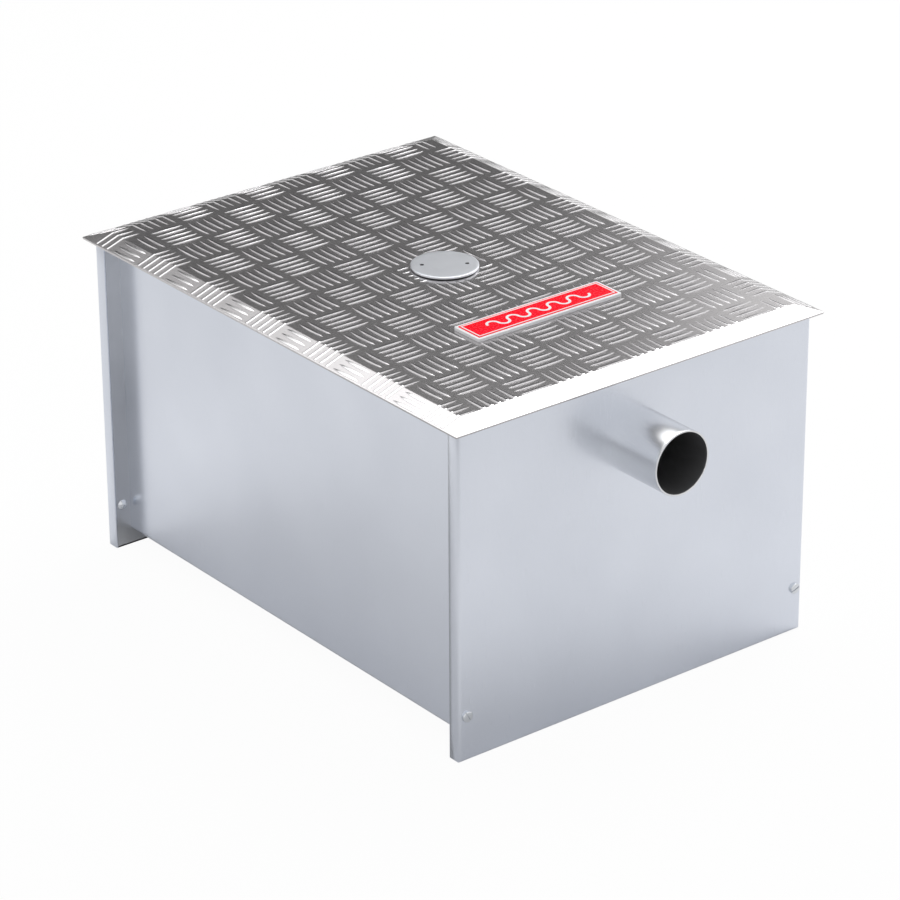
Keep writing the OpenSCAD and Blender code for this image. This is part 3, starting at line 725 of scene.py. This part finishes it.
def add_pipe(name, node):
    """A pipe stub, with the faces of its bore in a darker steel that paints the shade inside it."""
    low, high = box_mm(node)
    centre = np.array([0, 0, (low[2] + high[2]) / 2])
    points, quads = turned_tube(tube_profile(low[1], high[1]), centre)
    radius = np.linalg.norm((points - centre)[:, [0, 2]], axis=1)
    # The bore's faces get the darker steel that paints the shade inside the stub.
    in_bore = (radius[quads] < PIPE_BORE + TUBE_EDGE / 2).all(1)
    add_piece(
        name, points, quads.tolist(), ("pipe_steel", "bore_painted_shade_steel"), "trap", (node,),
        in_bore.astype(int),
    )


# Clamp stud
THREAD_PITCH = 1.75
THREAD_DEPTH = 1.0
THREAD_RINGS = 150
STUD_STEPS = 48
STUD_TIP = 1.0
STUD_NECK = 3.0
TIP_BREAK = 0.2


def add_stud():
    """Threaded stud: its radius falls and rises once for each pitch and each turn, as a V between the
    crest and THREAD_DEPTH, and the thread fades out over one pitch below the plain neck."""
    low, high = box_mm("clamp_stud")
    radius = high[0]
    neck_start = high[2] - STUD_NECK
    z = np.linspace(low[2] + STUD_TIP, neck_start, THREAD_RINGS)
    t = np.linspace(0, 2 * math.pi, STUD_STEPS, endpoint=False)
    zz, tt = np.meshgrid(z, t, indexing="ij")
    phase = (zz / THREAD_PITCH - tt / (2 * math.pi)) % 1
    fade = np.clip((neck_start - zz) / THREAD_PITCH, 0, 1)
    r = radius - THREAD_DEPTH * fade * np.abs(2 * phase - 1)
    thread = np.stack([r * np.cos(tt), r * np.sin(tt), zz], -1)
    circle = np.stack([np.cos(t), np.sin(t)], -1)
    tip = np.column_stack([circle * (radius - THREAD_DEPTH - TIP_BREAK), np.full(len(t), low[2])])
    neck = np.column_stack([circle * radius, np.full(len(t), high[2])])
    points = np.concatenate([tip, thread.reshape(-1, 3), neck])
    quads = grid_quads(len(z) + 2, len(t), closed_columns=True)
    caps = [list(range(len(t))), list(range(len(points) - len(t), len(points)))]
    faces = oriented(points, quads.tolist() + caps)
    add_piece(
        "stud_thread", points, faces, ("polished_steel",), "clamp_screw", ("clamp_stud",)
    )


# Clamp disc
DISC_EDGE = 0.5
DISC_EDGE_STEPS = 7
DISC_LOOP = 2.5
INNER_RADII = (4, 10)
UNDER_LOOP = 4.0
SPANNER_CIRCLE = 18.0
SPANNER_RADIUS = 1.7
SPANNER_DEPTH = 1.2
SPANNER_TURN = math.radians(-34)
SPANNER_FRAME = 3.0
FRAME_STEPS = 8
BETWEEN_STEPS = 40


def disc_top(radius):
    """Top of the disc on a grid of radius and turn, with x and y the radius times the turn's cosine and
    sine. The grid has a line on each side of the two square frames that hold the spanner holes, and its
    cells inside a frame are left out."""
    inner, outer = SPANNER_CIRCLE - SPANNER_FRAME, SPANNER_CIRCLE + SPANNER_FRAME
    framed_radii = np.linspace(inner, outer, FRAME_STEPS + 1)
    radii = np.concatenate([INNER_RADII, framed_radii, [radius - DISC_LOOP, radius]])
    half = SPANNER_FRAME / SPANNER_CIRCLE
    near = np.linspace(-half, half, FRAME_STEPS + 1)
    far = np.linspace(half, math.pi - half, BETWEEN_STEPS)[1:-1]
    turns = np.concatenate([near, far, near + math.pi, far + math.pi])
    rr, tt = np.meshgrid(radii, turns, indexing="ij")
    points = np.stack([rr * np.cos(tt), rr * np.sin(tt)], -1).reshape(-1, 2)
    rows, columns = np.divmod(np.arange((len(radii) - 1) * len(turns)), len(turns))
    quads = grid_quads(len(radii), len(turns), closed_columns=True)
    offset = len(near) + len(far)
    first = len(INNER_RADII)
    last = first + FRAME_STEPS
    framed = (rows >= first) & (rows < last) & (columns % offset < FRAME_STEPS)
    k = np.arange(FRAME_STEPS)
    loop = np.concatenate([
        first * len(turns) + k,
        (first + k) * len(turns) + FRAME_STEPS,
        last * len(turns) + FRAME_STEPS - k,
        (last - k) * len(turns),
    ])
    return points, quads[~framed], (loop, loop + offset), len(turns)


def add_disc():
    """The top's grid, then rings round its edge and across the underside to the middle, a fan at each
    middle, and at each frame a circle, the hole's wall and its flat bottom, which are dull and painted
    dark as shade."""
    low, high = box_mm("clamp_disc")
    radius = high[0]
    flat, quads, frames, count = disc_top(radius - DISC_EDGE)
    points = [np.column_stack([flat, np.full(len(flat), high[2])])]
    turns = flat[-count:] / (radius - DISC_EDGE)
    edge = arc(radius - DISC_EDGE, high[2] - DISC_EDGE, DISC_EDGE, 90, 0, DISC_EDGE_STEPS)[1:]
    side = [[radius, low[2] + EDGE_BREAK], [radius - EDGE_BREAK, low[2]], [radius - UNDER_LOOP, low[2]]]
    rings = np.concatenate([edge, side])
    points += [np.column_stack([turns * r, np.full(count, z)]) for r, z in rings]
    total = len(flat) + count * len(rings)
    skirt = grid_quads(len(rings) + 1, count, closed_columns=True) + len(flat) - count
    points += [np.array([[0, 0, high[2]], [0, 0, low[2]]])]
    k = np.arange(count)
    after = (k + 1) % count
    fan_top = np.stack([k, after, np.full(count, total)], -1)[:, ::-1]
    last = total - count
    fan_under = np.stack([last + k, last + after, np.full(count, total + 1)], -1)
    total += 2
    faces = quads.tolist() + skirt.tolist() + fan_top.tolist() + fan_under.tolist()
    for number, loop in enumerate(frames):
        middle = np.array([SPANNER_CIRCLE * (1 - 2 * number), 0])
        offset = flat[loop] - middle
        around = offset / np.linalg.norm(offset, axis=1)[:, None]
        steps = ((SPANNER_RADIUS, 0), (SPANNER_RADIUS, SPANNER_DEPTH))
        for r, depth in steps:
            circle = middle + around * r
            points.append(np.column_stack([circle, np.full(len(circle), high[2] - depth)]))
        size = len(loop)
        rows = [loop] + [total + size * i + np.arange(size) for i in range(len(steps))]
        for here, there in zip(rows, rows[1:]):
            band = np.stack([here, there, np.roll(there, -1), np.roll(here, -1)], -1)
            faces += band.tolist()
        faces.append(rows[-1].tolist())
        total += size * len(steps)
    places = np.concatenate(points)
    c, sn = math.cos(SPANNER_TURN), math.sin(SPANNER_TURN)
    places[:, :2] = places[:, :2] @ np.array([[c, sn], [-sn, c]])
    faces = oriented(places, faces)
    middles = np.array([places[face].mean(0) for face in faces])
    # The spanner holes' faces get the darker steel that paints the shade inside them.
    in_hole = (middles[:, 2] < high[2]) & (middles[:, 2] >= high[2] - SPANNER_DEPTH)
    in_hole &= np.hypot(middles[:, 0], middles[:, 1]) < SPANNER_CIRCLE + SPANNER_FRAME
    add_piece(
        "disc_body", places, faces, ("disc_steel", "bore_painted_shade_steel"), "clamp_screw",
        ("clamp_disc",), in_hole.astype(int),
    )


# Corner screws
SCREW_HEAD_RADIUS = 4.5
SCREW_HEAD_HEIGHT = 2.4
SCREW_EDGE = 0.8
SCREW_HEIGHT = 38.5
HEAD_CROWN = 0.25
HEAD_ROWS = 21
SIDE_LINES = 9
EDGE_START = 60
HEAD_EDGE_STEPS = 3
SLOT_HALF = 0.55
SLOT_DEPTH = 1.0
SLOT_TURNS = (35, 70, 20, 120)


def screw_head(turn):
    """Cheese head in local x, y and height: a square grid of u and v, from -1 to 1, pressed into a disc.
    x is u times the root of 1 less half of v squared, and y is v times the root of 1 less half of u
    squared. Its lines run along the slot, so the slot's walls follow them, and the top is crowned."""
    wall = SLOT_HALF / SCREW_HEAD_RADIUS
    before, after = np.linspace(-1, -wall, SIDE_LINES), np.linspace(wall, 1, SIDE_LINES)
    v = np.concatenate([before, [-wall, wall], after])
    depth = np.zeros(len(v))
    depth[SIDE_LINES:-SIDE_LINES] = SLOT_DEPTH
    u = np.linspace(-1, 1, HEAD_ROWS)
    uu, vv = np.meshgrid(u, v, indexing="ij")
    x = uu * np.sqrt(1 - vv**2 / 2)
    y = vv * np.sqrt(1 - uu**2 / 2)
    inner = SCREW_HEAD_RADIUS - SCREW_EDGE
    reach = np.hypot(x, y)
    crown = SCREW_HEAD_HEIGHT - HEAD_CROWN * reach**2
    top = np.stack([x * inner, y * inner, crown - depth[None, :]], -1)
    rows, columns = top.shape[:2]
    index = np.arange(rows * columns).reshape(rows, columns)
    rim = np.concatenate([index[:-1, 0], index[-1, :-1], index[:0:-1, -1], index[0, :0:-1]])
    points = [top.reshape(-1, 3)]
    around = top.reshape(-1, 3)[rim, :2] / inner
    floor_height = top.reshape(-1, 3)[rim, 2]
    low_edge = SCREW_HEAD_HEIGHT - HEAD_CROWN - SCREW_EDGE
    steps = arc(inner, low_edge, SCREW_EDGE, EDGE_START, 0, HEAD_EDGE_STEPS)
    for r, z in [*steps, (SCREW_HEAD_RADIUS, 0)]:
        points.append(np.column_stack([around * r, np.minimum(z, floor_height)]))
    size = len(rim)
    total = rows * columns
    faces = grid_quads(rows, columns).tolist()
    lines = [rim] + [total + size * i + np.arange(size) for i in range(len(steps) + 1)]
    for here, there in zip(lines, lines[1:]):
        faces += np.stack([here, there, np.roll(there, -1), np.roll(here, -1)], -1).tolist()
    faces.append(lines[-1].tolist())
    places = np.concatenate(points)
    t = math.radians(turn)
    c, sn = math.cos(t), math.sin(t)
    places[:, :2] = places[:, :2] @ np.array([[c, sn], [-sn, c]])
    return places, faces


def add_screws():
    """A head in each lower corner of both covers, each with its slot turned as chance left it."""
    high = box_mm("cover_screws")[1]
    across = high[0] - SCREW_HEAD_RADIUS
    face = high[1] - SCREW_HEAD_HEIGHT
    points, faces, count = [], [], 0
    for number, turn in enumerate(SLOT_TURNS):
        end, side = (1, -1)[number // 2], (-1, 1)[number % 2]
        head, head_faces = screw_head(turn)
        x, y, out = head.T
        placed = np.column_stack([end * (side * across + x), end * (face + out), SCREW_HEIGHT - y])
        points.append(placed)
        faces += [[i + count for i in f] for f in head_faces]
        count += len(placed)
    places = np.concatenate(points)
    add_piece(
        "screw_heads", places, oriented(places, faces), ("polished_steel",), "trap",
        ("cover_screws",),
    )


# Name plate
PLATE_CORNER = 1.5
PLATE_EDGE = 0.3
PLATE_LEAST_CORNER = 0.3
PLATE_STEPS = 6
PLATE_LOOP = 1.0
PLATE_INNER_SHARE = 0.8


def add_name_plate():
    """Slab with round corners: its outline shrinks along an arc at the upper and lower edge."""
    middle, half = (plate_low + plate_high) / 2, (plate_high - plate_low) / 2
    upper = arc(-PLATE_EDGE, half[2] - PLATE_EDGE, PLATE_EDGE, 0, 90, PLATE_STEPS)
    lower = arc(-PLATE_EDGE, -half[2] + PLATE_EDGE, PLATE_EDGE, 270, 360, PLATE_STEPS)
    inner, loop = -half[1] * PLATE_INNER_SHARE, -PLATE_EDGE - PLATE_LOOP
    under = [[inner, -half[2]], [loop, -half[2]]]
    over = [[loop, half[2]], [inner, half[2]]]
    profile = np.concatenate([under, lower, upper, over])
    rings = []
    for step, height in profile:
        radius = max(PLATE_CORNER + step, PLATE_LEAST_CORNER)
        outline = rounded_outline(half[0] + step, half[1] + step, radius, PLATE_STEPS, PLATE_STEPS)
        rings.append(np.column_stack([outline, np.full(len(outline), height)]))
    points = np.concatenate(rings) + middle
    count = len(rings[0])
    quads = outward(points, grid_quads(len(rings), count, closed_columns=True))
    caps = [list(range(count)), list(range(len(points) - count, len(points)))]
    faces = oriented(points, quads.tolist() + caps)
    add_piece("plate_body", points, faces, ("plate_white",), "trap", ("name_plate",))


# CAD pieces that stay and get a finish
STAYING = {
    "satin_steel": ("tank_shell",),
    "inner_steel": (
        "front_end_plate", "rear_end_plate", "outlet_elbow", "outlet_dip_tube", "rim_frame",
        "lid_stiffener_front", "lid_stiffener_rear", "clamp_retainer", "clamp_bridge", "bridge_nut",
        "bridge_bracket_left", "bridge_bracket_right", "inlet_baffle", "outlet_baffle",
        "inlet_guide_left", "inlet_guide_right", "outlet_guide_left", "outlet_guide_right",
        "basket_rail_left", "basket_rail_right", "strainer_basket",
    ),
    "polished_steel": ("basket_handle", "cover_nuts"),
    "seal_rubber": ("lid_gasket", "clamp_washer"),
    "plate_red": ("plate_field",),
    "plate_white": ("plate_border", "plate_wave"),
}


def dress_staying():
    """Gives each piece that stays its one material."""
    for material, members in STAYING.items():
        for node in members:
            data = nodes[node].data
            data.materials.clear()
            data.materials.append(materials[material])


# Studio, in metres
FLOOR_WHITE = 0.88
FLOOR_HALF = 12.0
FLOOR_DROP = 0.0002
FLOOR_ROUGHNESS = 0.9
FLOOR_SEEN = 0.96
FLOOR_MIRRORED = 0.1
WORLD_LEVEL = 0.45
WORLD_SEEN = 1.0


def flat_sheet(name, half_a, half_b):
    """A rectangle round the origin, facing up."""
    mesh = bpy.data.meshes.new(name)
    corners = [(-half_a, -half_b, 0), (half_a, -half_b, 0), (half_a, half_b, 0), (-half_a, half_b, 0)]
    mesh.from_pydata(corners, [], [(0, 1, 2, 3)])
    sheet = bpy.data.objects.new(name, mesh)
    bpy.context.scene.collection.objects.link(sheet)
    return sheet


def matt_material(name, level, roughness):
    """A grey without any shine, with its node tree and its shader."""
    material, tree, shader = new_material(name)
    shader.inputs["Base Color"].default_value = (level, level, level, 1)
    shader.inputs["Roughness"].default_value = roughness
    shader.inputs["Specular IOR Level"].default_value = 0
    return material, tree, shader


def any_ray(tree, path, kinds):
    """1 for a ray of any of these kinds, and otherwise 0."""
    value = path.outputs[kinds[0]]
    for kind in kinds[1:]:
        larger = wire(tree, "ShaderNodeMath", operation="MAXIMUM")
        tree.links.new(value, larger.inputs[0])
        tree.links.new(path.outputs[kind], larger.inputs[1])
        value = larger.outputs[0]
    return value


def add_floor():
    """White floor: the camera sees it as nearly white and steel mirrors part of that, while the rest of it
    takes light and shadow."""
    floor = flat_sheet("floor", FLOOR_HALF, FLOOR_HALF)
    floor.location.z = -FLOOR_DROP
    material, tree, shader = matt_material("floor", FLOOR_WHITE, FLOOR_ROUGHNESS)
    path = wire(tree, "ShaderNodeLightPath")
    glow = wire(tree, "ShaderNodeEmission")
    mirrored = wire(tree, "ShaderNodeMath", operation="MULTIPLY")
    mirrored.inputs[1].default_value = FLOOR_MIRRORED
    seen = wire(tree, "ShaderNodeMath", operation="MULTIPLY_ADD")
    seen.inputs[1].default_value = FLOOR_SEEN
    mix = wire(tree, "ShaderNodeMixShader")
    tree.links.new(any_ray(tree, path, ("Is Glossy Ray", "Is Transmission Ray")), mirrored.inputs[0])
    tree.links.new(path.outputs["Is Camera Ray"], seen.inputs[0])
    tree.links.new(mirrored.outputs[0], seen.inputs[2])
    tree.links.new(seen.outputs[0], mix.inputs["Fac"])
    tree.links.new(shader.outputs[0], mix.inputs[1])
    tree.links.new(glow.outputs[0], mix.inputs[2])
    tree.links.new(mix.outputs[0], tree.nodes["Material Output"].inputs["Surface"])
    floor.data.materials.append(material)


def add_world():
    """White where it is seen or mirrored, and dimmer as a light."""
    world = bpy.data.worlds.new("studio")
    world.use_nodes = True
    bpy.context.scene.world = world
    tree = world.node_tree
    background = tree.nodes["Background"]
    background.inputs["Color"].default_value = (1, 1, 1, 1)
    path = wire(tree, "ShaderNodeLightPath")
    level = wire(tree, "ShaderNodeMapRange")
    level.inputs["To Min"].default_value = WORLD_LEVEL
    level.inputs["To Max"].default_value = WORLD_SEEN
    kinds = ("Is Camera Ray", "Is Glossy Ray", "Is Transmission Ray")
    tree.links.new(any_ray(tree, path, kinds), level.inputs["Value"])
    tree.links.new(level.outputs["Result"], background.inputs["Strength"])


def aim(thing, place, target):
    """Puts a thing at a place with its -Z axis towards the target."""
    place, target = Vector(place), Vector(target)
    thing.rotation_euler = (target - place).to_track_quat("-Z", "Y").to_euler()
    thing.location = place


def add_lamp(name, place, size, power, target):
    """A soft box of a size, at a place, towards a target."""
    data = bpy.data.lights.new(name, "AREA")
    data.shape = "RECTANGLE"
    data.size, data.size_y = size
    data.energy = power
    lamp = bpy.data.objects.new(name, data)
    aim(lamp, place, target)
    bpy.context.scene.collection.objects.link(lamp)


def add_card(name, place, size, level, target):
    """A flat card out of the picture, dark or grey, that the steel mirrors."""
    card = flat_sheet(name, size[0] / 2, size[1] / 2)
    aim(card, place, target)
    card.data.materials.append(matt_material(name, level, 1)[0])
    card.visible_camera = False
    card.visible_shadow = False
    card.visible_diffuse = False


def add_lights():
    """Two soft boxes, the grey card that darkens the lid and the dark one low behind the trap."""
    add_lamp("top_box", (0.35, 0.78, 2.1), (2.2, 1.9), 21, (0.3, 0.6, 0.3))
    add_lamp("right_box", (1.75, 0.3, 2.0), (1.3, 2.2), 30, (1.2, 0.2, 0.3))
    add_card("far_card", (0.66, 2.5, 1.18), (3.0, 1.95), 0.13, (0, 0, 0.28))
    add_card("low_card", (0.95, 1.3, 0.004), (1.6, 1.6), 0.05, (0.95, 1.3, 1))


add_camera()
dress_staying()
add_lid()
add_cover("front_pan", "front_cover", -1)
add_cover("rear_pan", "rear_cover", 1)
add_pipe("outlet_stub", "outlet_pipe")
add_pipe("inlet_stub", "inlet_pipe")
add_stud()
add_disc()
add_screws()
add_name_plate()
add_floor()
add_world()
add_lights()
bpy.context.scene.view_settings.view_transform = "Standard"
